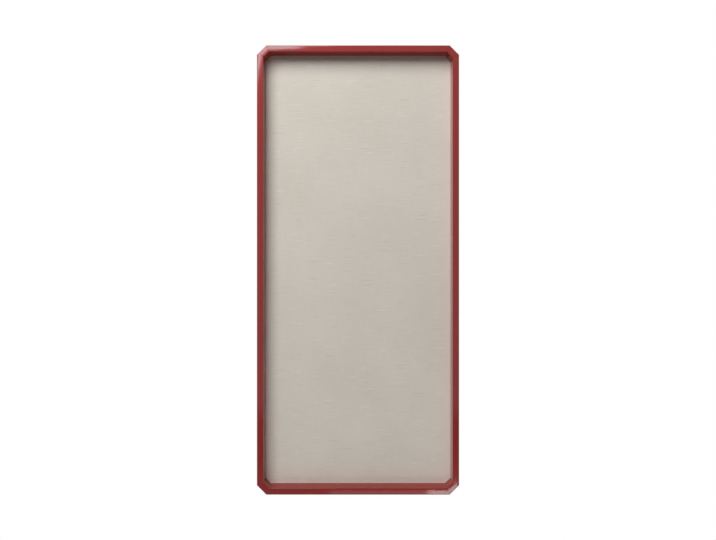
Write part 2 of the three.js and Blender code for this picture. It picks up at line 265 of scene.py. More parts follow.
class Finish:
    """A material: its plain values sit on the shader's own sockets, and its patterns are added as nodes."""

    def __init__(self, name, colour, roughness, **sockets):
        self.material = bpy.data.materials.new(name)
        self.material.use_nodes = True
        self.tree = self.material.node_tree
        self.shader = self.tree.nodes["Principled BSDF"]
        self.shader.inputs["Base Color"].default_value = (*colour, 1)
        self.shader.inputs["Roughness"].default_value = roughness
        for socket, value in sockets.items():
            self.shader.inputs[socket.replace("_", " ")].default_value = value

    def node(self, kind, inputs, **settings):
        """A node with its settings, whose inputs are linked where they are given as another node's output."""
        made = self.tree.nodes.new(kind)
        for setting, value in settings.items():
            setattr(made, setting, value)
        for socket, value in inputs.items():
            if isinstance(value, bpy.types.NodeSocket):
                self.tree.links.new(value, made.inputs[socket])
            else:
                made.inputs[socket].default_value = value
        return made

    def wear(self, socket, value):
        self.tree.links.new(value, self.shader.inputs[socket])

    def place(self, scale, source="Object", attribute=None):
        """The place of a point on the piece, in metres times scale."""
        if attribute:
            origin = self.node("ShaderNodeAttribute", {}, attribute_name=attribute).outputs["Vector"]
        else:
            origin = self.node("ShaderNodeTexCoord", {}).outputs[source]
        return self.node("ShaderNodeMapping", {"Vector": origin, "Scale": scale}).outputs["Vector"]

    def noise(self, place, detail=2.0, roughness=0.5, distortion=0.0):
        names = ("Vector", "Scale", "Detail", "Roughness", "Distortion")
        inputs = dict(zip(names, (place, 1.0, detail, roughness, distortion)))
        return self.node("ShaderNodeTexNoise", inputs).outputs["Fac"]

    def threads(self, place, direction):
        """Even threads laid side by side along a direction, as waves from 0 to 1."""
        inputs = {"Vector": place, "Scale": 1.0, "Distortion": 0.0}
        return self.node("ShaderNodeTexWave", inputs, bands_direction=direction).outputs["Fac"]

    def share(self, value, low, high, out_low=0.0, out_high=1.0):
        """A value carried from low..high to out_low..out_high and held inside them."""
        names = ("Value", "From Min", "From Max", "To Min", "To Max")
        made = self.node("ShaderNodeMapRange", dict(zip(names, (value, low, high, out_low, out_high))))
        return made.outputs["Result"]

    def sum(self, *terms):
        """The sum of value times weight over pairs of both."""
        total = 0.0
        for value, weight in terms:
            made = self.node("ShaderNodeMath", {0: value, 1: weight, 2: total}, operation="MULTIPLY_ADD")
            total = made.outputs["Value"]
        return total

    def product(self, first, second):
        return self.node("ShaderNodeMath", {0: first, 1: second}, operation="MULTIPLY").outputs["Value"]

    def between(self, share, first, second):
        """A colour that goes from the first to the second as share goes from 0 to 1."""
        made = self.node("ShaderNodeMix", {0: share}, data_type="RGBA")
        for socket, colour in ((made.inputs[6], first), (made.inputs[7], second)):
            if isinstance(colour, bpy.types.NodeSocket):
                self.tree.links.new(colour, socket)
            else:
                socket.default_value = (*colour, 1)
        return made.outputs[2]

    def relief(self, height, distance, strength):
        bump = self.node("ShaderNodeBump", {"Height": height, "Distance": distance, "Strength": strength})
        return bump.outputs["Normal"]


def glossy_lacquer(name, light, dark):
    """Dark red lacquer under a clear coat: a slightly cloudy red, and a coat with a faint orange peel."""
    finish = Finish(
        name, light, 0.42, Metallic=0.2, Specular_IOR_Level=0.05,
        Specular_Tint=(1, 0.10, 0.08, 1), Coat_Weight=1.0, Coat_Roughness=0.08, Coat_IOR=1.42,
    )
    clouds = finish.noise(finish.place((9, 9, 9)), detail=3)
    specks = finish.noise(finish.place((420, 420, 420)), detail=1)
    share = finish.sum((finish.share(clouds, 0.35, 0.7), 0.45), (finish.share(specks, 0.55, 0.8), 0.15))
    finish.wear("Base Color", finish.between(share, light, dark))
    peel = finish.noise(finish.place((260, 260, 260)), detail=1)
    finish.wear("Coat Normal", finish.relief(peel, 0.0001, 0.25))
    return finish.material


def thin_lacquer():
    """The same red, thin and unpolished on the back of the frame, so that the wood's grain shows through."""
    finish = Finish("thin_lacquer", (0.18, 0.016, 0.012), 0.55, Specular_IOR_Level=0.4)
    grain = finish.noise(finish.place((14, 900, 900), attribute="grain"), detail=4, roughness=0.6)
    figure = finish.noise(finish.place((6, 160, 160), attribute="grain"), detail=2)
    share = finish.sum((finish.share(grain, 0.35, 0.7), 0.6), (finish.share(figure, 0.3, 0.7), 0.4))
    finish.wear("Base Color", finish.between(share, (0.20, 0.018, 0.013), (0.115, 0.014, 0.010)))
    finish.wear("Roughness", finish.share(grain, 0.3, 0.7, 0.48, 0.68))
    finish.wear("Normal", finish.relief(grain, 0.0001, 0.5))
    return finish.material


def plain_wood(name, light, dark):
    """Bare wood with fine long grain and broader figure along the piece."""
    finish = Finish(name, light, 0.72, Specular_IOR_Level=0.3)
    grain = finish.noise(finish.place((300, 40, 900)), detail=4, roughness=0.6)
    figure = finish.noise(finish.place((60, 12, 200)), detail=2, distortion=0.6)
    share = finish.sum((finish.share(grain, 0.35, 0.7), 0.5), (finish.share(figure, 0.3, 0.7), 0.5))
    finish.wear("Base Color", finish.between(share, light, dark))
    finish.wear("Normal", finish.relief(grain, 0.0001, 0.4))
    return finish.material


def slub_linen():
    """Plain woven linen in warm grey-beige: crossing threads, and slubs where a weft thread runs thick."""
    finish = Finish(
        "slub_linen", (0.57, 0.52, 0.45), 0.92,
        Specular_IOR_Level=0.2, Sheen_Weight=0.06, Sheen_Roughness=0.5,
    )

    def on_cloth(across, up):
        """The place on the flat cloth, in metres times across and times up."""
        return finish.place((across * CLOTH_SPAN, up * CLOTH_SPAN, 1), source="UV")

    slub = finish.noise(on_cloth(25, 500), detail=1)
    fine_slub = finish.noise(on_cloth(120, 1500))
    warp_slub = finish.noise(on_cloth(900, 26))
    blotch = finish.noise(on_cloth(7, 7))
    weft = finish.threads(on_cloth(0, WEFT_WAVES), "Y")
    warp = finish.threads(on_cloth(WARP_WAVES, 0), "X")
    thick = finish.share(slub, 0.63, 0.80)
    thin = finish.share(slub, 0.37, 0.20)
    share = finish.sum(
        (thick, 0.46), (thin, -0.44), (finish.share(fine_slub, 0.3, 0.7), 0.10),
        (finish.share(warp_slub, 0.3, 0.7), 0.10), (finish.share(blotch, 0.3, 0.7), 0.145), (0.44, 1.0),
    )
    finish.wear("Base Color", finish.between(share, (0.513, 0.4570, 0.3895), (0.738, 0.692, 0.618)))
    height = finish.sum((weft, 0.25), (warp, 0.25), (thick, 0.5), (fine_slub, 0.35), (warp_slub, 0.2))
    finish.wear("Normal", finish.relief(height, 0.0002, 0.6))
    return finish.material


def brown_hardboard():
    """Pressed fibre board: a brown skin with darker and lighter fibres and a faint rubbed sheen."""
    finish = Finish("brown_hardboard", (0.16, 0.085, 0.042), 0.5, Specular_IOR_Level=0.4)
    fibres = finish.noise(finish.place((260, 260, 900)), detail=5, roughness=0.7, distortion=1.5)
    flecks = finish.noise(finish.place((900, 900, 340)), detail=3, roughness=0.6)
    clouds = finish.noise(finish.place((5, 5, 5)), detail=3)
    share = finish.sum(
        (finish.share(fibres, 0.35, 0.68), 0.5), (finish.share(flecks, 0.62, 0.8), 0.4), (clouds, 0.25),
    )
    finish.wear("Base Color", finish.between(share, (0.125, 0.062, 0.030), (0.265, 0.155, 0.085)))
    finish.wear("Roughness", finish.share(clouds, 0.3, 0.7, 0.40, 0.58))
    finish.wear("Normal", finish.relief(fibres, 0.0001, 0.35))
    return finish.material


def wood_fibre():
    """Soft pale fibre board."""
    finish = Finish("wood_fibre", (0.45, 0.33, 0.20), 0.95, Specular_IOR_Level=0.1)
    fibres = finish.noise(finish.place((700, 700, 700)), detail=4, roughness=0.7, distortion=1.0)
    finish.wear("Base Color", finish.between(fibres, (0.37, 0.26, 0.15), (0.55, 0.42, 0.27)))
    finish.wear("Normal", finish.relief(fibres, 0.0002, 0.5))
    return finish.material


def zinc_plate():
    """Bright zinc on pressed steel: a grey metal with faint patches and drawing marks."""
    finish = Finish("zinc_plate", (0.47, 0.47, 0.46), 0.3, Metallic=1.0)
    patches = finish.noise(finish.place((700, 700, 700)), detail=3)
    marks = finish.noise(finish.place((3000, 3000, 260)), detail=2)
    finish.wear("Base Color", finish.between(patches, (0.37, 0.37, 0.36), (0.57, 0.57, 0.555)))
    rough = finish.sum(
        (finish.share(patches, 0.3, 0.7), 0.14), (finish.share(marks, 0.3, 0.7), 0.1), (0.22, 1.0),
    )
    finish.wear("Roughness", rough)
    finish.wear("Normal", finish.relief(marks, 0.00002, 0.3))
    return finish.material


def black_rubber():
    """Moulded black rubber with a fine bloom."""
    finish = Finish("black_rubber", (0.016, 0.016, 0.017), 0.78, Specular_IOR_Level=0.4)
    bloom = finish.noise(finish.place((1500, 1500, 1500)), detail=3)
    finish.wear("Base Color", finish.between(bloom, (0.012, 0.012, 0.013), (0.028, 0.028, 0.029)))
    finish.wear("Roughness", finish.share(bloom, 0.3, 0.7, 0.68, 0.88))
    finish.wear("Normal", finish.relief(bloom, 0.00005, 0.4))
    return finish.material


LACQUER = glossy_lacquer("glossy_lacquer", (0.231, 0.0122, 0.0088), (0.192, 0.0098, 0.0073))
# Painted light: the recess walls wear the faces' lacquer made redder and brighter, standing in for the light
# the walls catch.
PAINTED_LIGHT_WALL_LACQUER = glossy_lacquer("wall_lacquer_painted_light", (0.310, 0.0125, 0.0075), (0.260, 0.0100, 0.0062))
THIN_LACQUER = thin_lacquer()
FRAME_WOOD = plain_wood("frame_wood", (0.56, 0.40, 0.24), (0.40, 0.26, 0.14))
LINEN = slub_linen()
ZINC = zinc_plate()
RUBBER = black_rubber()


def frame_section():
    """The closed section of a member, and the points where its wall's lacquer begins and where the lacquer
    ends: back arris, outer side, outer arris, crowned face, inner arris and drafted wall, then the thinly
    coated shoulder, rebate and back."""
    depth = BACK - FRONT
    base = FACE + WALL_DRAFT
    back_width = base - SHOULDER_LAP
    low = FACE_CROWN + INNER_ARRIS
    foot = (FACE + WALL_DRAFT / RECESS * low, low)
    parts = [
        curve((BACK_ARRIS, depth), (0, depth), (0, depth - BACK_ARRIS), 5),
        straight((0, depth - BACK_ARRIS), (0, FACE_CROWN + OUTER_ARRIS), 12),
        curve((0, FACE_CROWN + OUTER_ARRIS), (0, FACE_CROWN), (OUTER_ARRIS, FACE_CROWN), 10),
        curve((OUTER_ARRIS, FACE_CROWN), (FACE / 2, -FACE_CROWN), (FACE - INNER_ARRIS, FACE_CROWN), 14),
        curve((FACE - INNER_ARRIS, FACE_CROWN), (FACE, FACE_CROWN), foot, 7),
        straight(foot, (base, RECESS), 9),
        straight((base, RECESS), (back_width, RECESS), 2),
        straight((back_width, RECESS), (back_width, depth), 4),
        straight((back_width, depth), (BACK_ARRIS, depth), 4),
    ]
    wall = sum(len(part) for part in parts[:5])
    return np.concatenate(parts), wall, wall + len(parts[5])


def outward_normals(outline):
    """At each point of a closed outline, the unit vector out of it, square to the line between neighbours."""
    step = np.roll(outline, -1, axis=0) - np.roll(outline, 1, axis=0)
    turned = np.stack([step[:, 1], -step[:, 0]], axis=1)
    after = np.roll(outline, -1, axis=0)
    area = np.sum(outline[:, 0] * after[:, 1] - after[:, 0] * outline[:, 1])
    return np.sign(area) * turned / np.linalg.norm(turned, axis=1, keepdims=True)


def key_slot(length, end):
    """The eight corners of the slot for a mitre key, mouth then floor, as (along, u, v). The mouth lies on
    the mitre, and the floor half a key further in, square to it."""
    half = (KEY_THICKNESS / 2 + CLEARANCE) * math.cos(MITRE)
    middle = (FACE + WALL_DRAFT - SHOULDER_LAP) / 2
    reach = KEY_LENGTH / 2 + CLEARANCE
    u = middle + half * np.array([-1, 1, 1, -1])
    v = KEY_SETBACK + np.array([-CLEARANCE, -CLEARANCE, KEY_DEPTH + CLEARANCE, KEY_DEPTH + CLEARANCE])
    along = end * (length / 2 - u * math.tan(MITRE) - MITRE_GAP)
    mouth = np.stack([along, u, v], axis=1)
    floor = mouth - np.array([end * reach * math.cos(MITRE), reach * math.sin(MITRE), 0])
    return np.concatenate([mouth, floor])


def frame_member(name, stands_for, angle, middle, length):
    """One mitred member. Its section is carried along it, each point stopping at the mitre plane, where the
    edges are softly rounded, and the lacquered faces sink by up to LACQUER_SWELL in a soft unevenness."""
    outline, wall, lacquered = frame_section()
    normal = outward_normals(outline)
    columns = len(outline)
    path = np.cumsum(np.linalg.norm(outline - np.roll(outline, 1, axis=0), axis=1))
    share = np.r_[-1, np.linspace(-1, 1, max(6, round(length / RING_PITCH))), 1]
    rows = len(share)
    end_row = np.abs(np.arange(rows) - (rows - 1) / 2) > (rows - 2) / 2
    inset = np.where(end_row, MITRE_ARRIS, 0)[:, None]
    setback = np.where(end_row, 0, MITRE_ARRIS)[:, None]
    along = share[:, None] * (length / 2 - outline[None, :, 0] * math.tan(MITRE) - MITRE_GAP - setback)
    sink = LACQUER_SWELL * uneven(along, path[None, :], angle) * (np.arange(columns) < lacquered)
    section = outline[None] - (inset + sink)[..., None] * normal[None]
    grid = np.concatenate([along[..., None], section], axis=-1).reshape(-1, 3)
    slots = [key_slot(length, end) for end in (-1, 1)]
    local = np.concatenate([grid, *slots])
    body_faces = quads(rows, columns, wrap_columns=True)
    faces, bare = list(body_faces), []
    for first_row, slot_start in ((0, rows * columns), ((rows - 1) * columns, rows * columns + 8)):
        rim = np.arange(columns) + first_row
        mouth = np.arange(4) + slot_start
        index = np.concatenate([rim, mouth])
        loops = [[Vector((*local[i, 1:], 0)) for i in loop] for loop in (rim, mouth)]
        bare += [index[list(triangle)] for triangle in tessellate_polygon(loops)]
        around = np.roll(mouth, -1)
        bare += list(np.stack([mouth, around, around + 4, mouth + 4], axis=1))
        bare.append(mouth + 4)
    cos, sin = math.cos(angle), math.sin(angle)
    points = np.stack(
        [
            middle[0] + local[:, 0] * cos - local[:, 1] * sin,
            FRONT + local[:, 2],
            middle[1] - local[:, 0] * sin - local[:, 1] * cos,
        ],
        axis=1,
    )
    # The fourth finish is the brighter red copy of the lacquer for the recess walls: painted light.
    finishes = (LACQUER, THIN_LACQUER, FRAME_WOOD, PAINTED_LIGHT_WALL_LACQUER)
    made = piece(name, points, faces + bare, finishes, "board", [stands_for])
    column = np.tile(np.arange(columns), rows - 1)
    # Recess wall faces take the brighter painted-light copy of the lacquer (index 3); the faces and outer
    # sides keep the plain lacquer.
    on_side = np.where(column < wall, 0, np.where(column < lacquered, 3, 1))
    finish = np.concatenate([on_side, np.full(len(bare), 2)])
    made.data.polygons.foreach_set("material_index", finish.astype(np.int32))
    grain = made.data.attributes.new("grain", "FLOAT_VECTOR", "POINT")
    grain.data.foreach_set("vector", local.astype(np.float32).ravel())


def build_frame():
    """The eight members, clockwise from the top as seen from the front."""
    corner_x, corner_z = (WIDTH - CLIP) / 2, (HEIGHT - CLIP) / 2
    corner, rail, stile = CLIP * math.sqrt(2), WIDTH - 2 * CLIP, HEIGHT - 2 * CLIP
    members = (
        ("top_rail", (0, HEIGHT / 2), rail),
        ("corner_top_right", (corner_x, corner_z), corner),
        ("right_stile", (WIDTH / 2, 0), stile),
        ("corner_bottom_right", (corner_x, -corner_z), corner),
        ("bottom_rail", (0, -HEIGHT / 2), rail),
        ("corner_bottom_left", (-corner_x, -corner_z), corner),
        ("left_stile", (-WIDTH / 2, 0), stile),
        ("corner_top_left", (-corner_x, corner_z), corner),
    )
    for order, (name, middle, length) in enumerate(members):
        frame_member(f"lacquered_{name}", f"frame_{name}", order * 2 * MITRE, middle, length)


def cloth_grid(inset):
    """A grid of (x, z) that fills the clipped outline at an inset: even rows up each clipped corner and up
    the straight side, and even columns across each row's width."""
    half_height = HEIGHT / 2 - inset
    clip = CLIP - (2 - math.sqrt(2)) * inset
    corner = np.linspace(-half_height, clip - half_height, CLOTH_CORNER_ROWS + 1)
    side = np.linspace(clip - half_height, half_height - clip, CLOTH_SIDE_ROWS + 1)[1:-1]
    z = np.concatenate([corner, side, -corner[::-1]])
    half_width = WIDTH / 2 - inset - np.maximum(0, np.abs(z) - (half_height - clip))
    x = half_width[:, None] * np.linspace(-1, 1, CLOTH_COLUMNS)[None, :]
    return np.stack([x, np.broadcast_to(z[:, None], x.shape)], axis=-1)


def border(grid):
    """The outermost points of a grid, once round."""
    return np.concatenate([grid[0], grid[1:, -1], grid[-1, -2::-1], grid[-2:0:-1, 0]])


def cloth_edge():
    """The way of the cloth's edge as rows of (inset, y, distance along the cloth): round the front arris,
    back over the core's side, round the back arris and in over the rear."""
    inner = LINEN_INSET + CLOTH_BEND
    turn = np.linspace(0, np.pi / 2, 6)
    sin, cos = CLOTH_BEND * np.sin(turn), CLOTH_BEND * np.cos(turn)
    front = np.stack([inner - sin, LINEN_FRONT + CLOTH_BEND - cos], axis=1)
    rear = np.stack([inner - cos, LINEN_BACK - CLOTH_BEND + sin], axis=1)
    flap = straight((inner, LINEN_BACK), (LINEN_INSET + CLOTH_TURNOVER, LINEN_BACK), 7)[1:]
    end = [(LINEN_INSET + CLOTH_TURNOVER, LINEN_BACK)]
    way = np.concatenate([front, rear, flap, end])
    step = np.linalg.norm(np.diff(way, axis=0), axis=1)
    return np.column_stack([way, np.r_[0, np.cumsum(step)]])


def linen_cover():
    """The cloth over the core: a front with a soft unevenness that dies out at its border, and its edge."""
    way = cloth_edge()
    front = cloth_grid(way[0, 0])
    rows, columns = front.shape[:2]
    x, z = front[..., 0], front[..., 1]
    side_fade = np.clip((1 - np.abs(x) / np.abs(x).max()) * CLOTH_SIDE_FADE, 0, 1)
    fade = side_fade * np.clip((1 - np.abs(z) / z.max()) * CLOTH_END_FADE, 0, 1)
    y = LINEN_FRONT + CLOTH_SWELL * fade * uneven(z * 0.6, x * 0.5, 2.0)
    face = np.stack([x, y, z], axis=-1).reshape(-1, 3)
    flat = [front.reshape(-1, 2)]
    points = [face]
    for inset, depth, distance in way[1:]:
        ring = border(cloth_grid(inset))
        points.append(np.column_stack([ring[:, 0], np.full(len(ring), depth), ring[:, 1]]))
        flat.append(border(cloth_grid(way[0, 0] - distance)))
    rim = border(np.arange(rows * columns).reshape(rows, columns))
    rings = np.arange(len(rim) * (len(way) - 1)) + rows * columns
    order = np.concatenate([rim, rings])
    faces = np.concatenate([quads(rows, columns), order[quads(len(way), len(rim), wrap_columns=True)]])
    points = np.concatenate(points)
    made = piece("linen_sheet", points, faces, (LINEN,), "board", ["linen_cover"], closed=False)
    corners = np.zeros(len(made.data.loops), np.int32)
    made.data.loops.foreach_get("vertex_index", corners)
    cloth_map = made.data.uv_layers.new(name="cloth")
    flat_place = 0.5 + np.concatenate(flat)[corners] / CLOTH_SPAN
    cloth_map.data.foreach_set("uv", flat_place.astype(np.float32).ravel())
    thickness = made.modifiers.new("cloth_thickness", "SOLIDIFY")
    thickness.thickness = CLOTH_THICKNESS
    thickness.offset = -1


def obround(share, start, end, half_width):
    """Points on a strip's outline with round ends, share of the way round from the tip of its far end."""
    half_arc, side = np.pi * half_width, end - start - 2 * half_width
    stops = np.cumsum([0, half_arc / 2, side, half_arc, side, half_arc / 2])
    way = share * stops[-1]
    centre = np.interp(way, stops, [end - half_width] * 2 + [start + half_width] * 2 + [end - half_width] * 2)
    angle = np.interp(way, stops, np.pi * np.array([0, 0.5, 0.5, 1.5, 1.5, 2]))
    return np.stack([centre + half_width * np.cos(angle), half_width * np.sin(angle)], axis=-1)


def button_surface():
    """A turn button flat on y = 0, its hole round the origin. Stations lead from the hole over the top,
    round the edge, under the plate and up the hole's wall. A station is a mix of the hole's circle and the
    outline drawn in by an inset, at a height. The rib is a dome whose height falls with the distance from its
    line."""
    around, across, arc = 72, 14, np.linspace(0, np.pi / 2, 4)
    full = np.ones(len(arc))
    share = np.arange(around) / around
    edge_in, edge_down = BUTTON_EDGE * (1 - np.sin(arc)), BUTTON_EDGE * (1 - np.cos(arc))
    mix = np.linspace(0, 1, across)
    stations = np.concatenate(
        [
            np.column_stack([mix, np.full(across, BUTTON_EDGE), np.full(across, BUTTON_THICKNESS)]),
            np.column_stack([full, edge_in, BUTTON_THICKNESS - edge_down]),
            np.column_stack([full, edge_in[::-1], edge_down[::-1]]),
            np.column_stack([mix[::-1], np.full(across, BUTTON_EDGE), np.zeros(across)]),
        ]
    )
    angle = 2 * np.pi * share
    circle = SCREW_HOLE * np.stack([np.cos(angle), np.sin(angle)], axis=-1)
    outer = np.stack(
        [
            obround(share, inset - BUTTON_HALF_WIDTH, BUTTON_REACH - inset, BUTTON_HALF_WIDTH - inset)
            for inset in stations[:, 1]
        ]
    )
    flat = circle[None] * (1 - stations[:, 0, None, None]) + outer * stations[:, 0, None, None]
    on_top = (np.arange(len(stations)) < across)[:, None]
    on_line = np.clip(flat[..., 0], RIB_START + RIB_HALF_WIDTH, RIB_END - RIB_HALF_WIDTH)
    beside = np.hypot(flat[..., 0] - on_line, flat[..., 1])
    rib = RIB_HEIGHT * np.cos(np.pi / 2 * np.clip(beside / RIB_HALF_WIDTH, 0, 1)) ** 1.5
    height = stations[:, 2, None] + on_top * rib
    points = np.stack([flat[..., 0], height, flat[..., 1]], axis=-1)
    return points.reshape(-1, 3), quads(*flat.shape[:2], wrap_rows=True, wrap_columns=True)


def screw_surface():
    """A pan-head screw, the underside of its head on y = 0 and its point down -Y: stations of (radius,
    height) spun round Y. In the head a cross is sunk, and on the shank the radius follows a thread's winding
    ridge."""
    around = 48
    angle = 2 * np.pi * np.arange(around) / around
    radius = np.linspace(0, HEAD_RADIUS, 26)
    dome = HEAD_RIM + (HEAD_HEIGHT - HEAD_RIM) * np.sqrt(np.clip(1 - (radius / HEAD_RADIUS) ** 2, 0, 1))
    head = np.column_stack([radius, dome])
    rim = np.array([(HEAD_RADIUS, HEAD_RIM / 2), (HEAD_RADIUS, 0), (SHANK_RADIUS, 0)])
    down = np.linspace(0, TIP_LENGTH - SHANK_LENGTH, 46)[1:]
    tip = np.linspace(TIP_LENGTH - SHANK_LENGTH, -SHANK_LENGTH, 16)[1:]
    shank = np.column_stack([np.full(len(down), SHANK_RADIUS), down])
    point = np.column_stack([SHANK_RADIUS * np.clip((tip + SHANK_LENGTH) / TIP_LENGTH, 0, 1), tip])
    stations = np.concatenate([head, rim, shank, point])
    place = stations[:, 0, None] * np.stack([np.cos(angle), np.sin(angle)])[:, None, :]
    near, far = np.minimum(*np.abs(place)), np.maximum(*np.abs(place))
    soft = CROSS_SLOT / 4
    in_slot = np.clip((CROSS_SLOT / 2 - near) / soft + 0.5, 0, 1)
    inside = in_slot * np.clip((CROSS_ARM - far) / soft + 0.5, 0, 1)
    taper = 1 - CROSS_TAPER * np.clip(far / CROSS_ARM, 0, 1)
    in_head = (np.arange(len(stations)) < len(head))[:, None]
    height = stations[:, 1, None] - in_head * CROSS_DEPTH * taper * inside
    below = np.clip(-stations[:, 1, None] / THREAD_PITCH - 1, 0, 1)
    ridge = 1 - np.abs(2 * ((stations[:, 1, None] / THREAD_PITCH + angle / (2 * np.pi)) % 1) - 1)
    core = 1 - (1 - THREAD_ROOT / SHANK_RADIUS) * below * np.clip(RIDGE_STEEPNESS * (1 - ridge), 0, 1)
    points = np.stack([place[0] * core, height + 0 * angle, place[1] * core], axis=-1)
    return points.reshape(-1, 3), quads(len(stations), around, wrap_columns=True)


def set_down(points, place, turn=0.0):
    """Points turned about Y, the way that carries +X towards -Z, and moved to a place."""
    cos, sin = math.cos(turn), math.sin(turn)
    x, y, z = points.T
    return np.stack([x * cos + z * sin, y, z * cos - x * sin], axis=1) + np.array(place)


def build_buttons():
    """The turn buttons, each turning with its own joint, and all the screws."""
    points, faces = button_surface()
    turns = {"left": 0, "right": math.pi, "top": math.pi / 2, "bottom": -math.pi / 2}
    for body, pivot in PIVOTS.items():
        if body.startswith("turn_button"):
            side = body.split("_")[2]
            name = body.replace("turn_button", "button_plate")
            piece(name, set_down(points, pivot, turns[side]), faces, (ZINC,), body, [body])
    points, faces = screw_surface()
    screws = sorted(node for node in frame["nodes"] if "_screw_" in node)
    for order, node in enumerate(screws):
        low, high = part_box(node)
        place = ((low.x + high.x) / 2, high.y - HEAD_HEIGHT, (low.z + high.z) / 2)
        name = node.replace("_screw_", "_pan_head_")
        piece(name, set_down(points, place, order * 0.9), faces, (ZINC,), "board", [node])


def fold_path():
    """The strip's middle line in (y, z) round the ring's bar: up the rear leaf, round the barrel over the top
    and on by BARREL_TURN below it, straight down to the front leaf, and in a counter-bend down that leaf."""
    radius = BARREL_RADIUS - STRIP_THICKNESS / 2
    front = 2 * STRIP_THICKNESS - STRIP_THICKNESS / 2 - BARREL_RADIUS
    turn = np.linspace(0, np.pi + BARREL_TURN, 40)
    barrel = np.stack([-radius * np.cos(turn), radius * np.sin(turn)], axis=1)
    sin, cos = math.sin(BARREL_TURN), math.cos(BARREL_TURN)
    run = (radius * cos - front - COUNTER_BEND * (1 - cos)) / sin
    bend_start = barrel[-1] + run * np.array([-sin, -cos])
    turn = np.linspace(BARREL_TURN, 0, 16)
    bend = bend_start + COUNTER_BEND * np.stack([cos - np.cos(turn), np.sin(turn) - sin], axis=1)
    return np.concatenate([[(-radius, -STRAP_LENGTH)], barrel, bend, [(front, -STRAP_LENGTH)]])


def leaf_tile(near, far, hole, round_end):
    """Half of a leaf, flat, as (down, across), with a screw hole: rings mixed from the hole's circle out to
    the tile's border. The far end is a half circle where round_end is true."""
    half, steps, rings = STRAP_HALF_WIDTH, 10, 6
    end = far - half if round_end else far
    arc = np.linspace(-np.pi / 2, np.pi / 2, 2 * steps, endpoint=False)
    tip = np.column_stack([end + half * np.cos(arc), half * np.sin(arc)])
    sides = [
        straight((near, -half), (end, -half), steps),
        tip if round_end else straight((end, -half), (end, half), steps),
        straight((end, half), (near, half), steps),
        straight((near, half), (near, -half), steps),
    ]
    rim = np.concatenate(sides)
    away = rim - np.array([hole, 0])
    circle = np.array([hole, 0]) + SCREW_HOLE * away / np.linalg.norm(away, axis=1, keepdims=True)
    mix = np.linspace(0, 1, rings)[:, None, None]
    return (circle * (1 - mix) + rim * mix).reshape(-1, 2), quads(rings, len(rim), wrap_columns=True)


def strap_surface():
    """The strap's middle surface: a flat pattern of (way along the fold path, across), folded by reading
    the path at each point's way. Each leaf is two tiles with a hole, and the fold between is a plain grid."""
    path = fold_path()
    way = np.r_[0, np.cumsum(np.linalg.norm(np.diff(path, axis=0), axis=1))]
    between = (STRAP_HOLES[0] + STRAP_HOLES[1]) / 2
    top = 2 * STRAP_HOLES[0] - between
    tiles = [
        leaf_tile(top, between, STRAP_HOLES[0], False),
        leaf_tile(between, STRAP_LENGTH, STRAP_HOLES[1], True),
    ]
    flat, faces, count = [], [], 0
    for front_leaf in (True, False):
        for points, tile_faces in tiles:
            down = way[-1] - STRAP_LENGTH + points[:, 0] if front_leaf else STRAP_LENGTH - points[:, 0]
            flat.append(np.column_stack([down, points[:, 1]]))
            faces.append(tile_faces + count)
            count += len(points)
    along = np.linspace(STRAP_LENGTH - top, way[-1] - STRAP_LENGTH + top, 60)
    across = np.linspace(-STRAP_HALF_WIDTH, STRAP_HALF_WIDTH, 11)
    fold = np.stack(np.meshgrid(along, across, indexing="ij"), axis=-1)
    flat.append(fold.reshape(-1, 2))
    faces.append(quads(len(along), len(across)) + count)
    flat = np.concatenate(flat)
    y, z = (np.interp(flat[:, 0], way, path[:, axis]) for axis in (0, 1))
    return np.stack([flat[:, 1], y, z], axis=1), np.concatenate(faces)


def build_straps():
    """The straps: the folded middle surface, given the strip's thickness and slightly rounded edges."""
    points, faces = strap_surface()
    for body, pivot in PIVOTS.items():
        if body.startswith("hanger_ring"):
            node = body.replace("ring", "strap")
            name = node.replace("hanger_strap", "folded_strap")
            made = piece(name, points + np.array(pivot), faces, (ZINC,), "board", [node])
            thickness = made.modifiers.new("strip_thickness", "SOLIDIFY")
            thickness.thickness = STRIP_THICKNESS
            thickness.offset = 0
            rounding = made.modifiers.new("rounded_edges", "BEVEL")
            rounding.width = STRIP_EDGE
            rounding.segments = 2
            rounding.limit_method = "ANGLE"
            rounding.angle_limit = math.radians(50)


def ring_surface():
    """A D-shaped ring round the origin's X axis, hanging down -Z: a round wire carried along a closed path of
    bar, two arms and an arch. The path is sampled evenly along its length."""
    half = STRAP_HALF_WIDTH + CLEARANCE + RING_WIRE
    turn = np.linspace(0, np.pi / 2, 9)
    arch = np.linspace(0, -np.pi, 41)
    corner = half - RING_CORNER
    right = np.column_stack([corner + RING_CORNER * np.sin(turn), RING_CORNER * (np.cos(turn) - 1)])
    left = right[::-1] * np.array([-1, 1])
    bow = np.column_stack([half * np.cos(arch), half - RING_REACH + half * np.sin(arch)])
    corners = np.concatenate([right, bow, left])
    length = np.r_[0, np.cumsum(np.linalg.norm(np.diff(np.vstack([corners, corners[:1]]), axis=0), axis=1))]
    steps, sides = 84, 14
    way = np.arange(steps) / steps * length[-1]
    closed = np.vstack([corners, corners[:1]])
    line = np.stack([np.interp(way, length, closed[:, axis]) for axis in (0, 1)], axis=1)
    ahead = np.roll(line, -1, axis=0) - np.roll(line, 1, axis=0)
    ahead /= np.linalg.norm(ahead, axis=1, keepdims=True)
    angle = 2 * np.pi * np.arange(sides) / sides
    aside = RING_WIRE * np.cos(angle)[None, :]
    x = line[:, 0, None] + ahead[:, 1, None] * aside
    z = line[:, 1, None] - ahead[:, 0, None] * aside
    y = np.broadcast_to(RING_WIRE * np.sin(angle)[None, :], x.shape)
    return np.stack([x, y, z], axis=-1).reshape(-1, 3), quads(steps, sides, wrap_rows=True, wrap_columns=True)


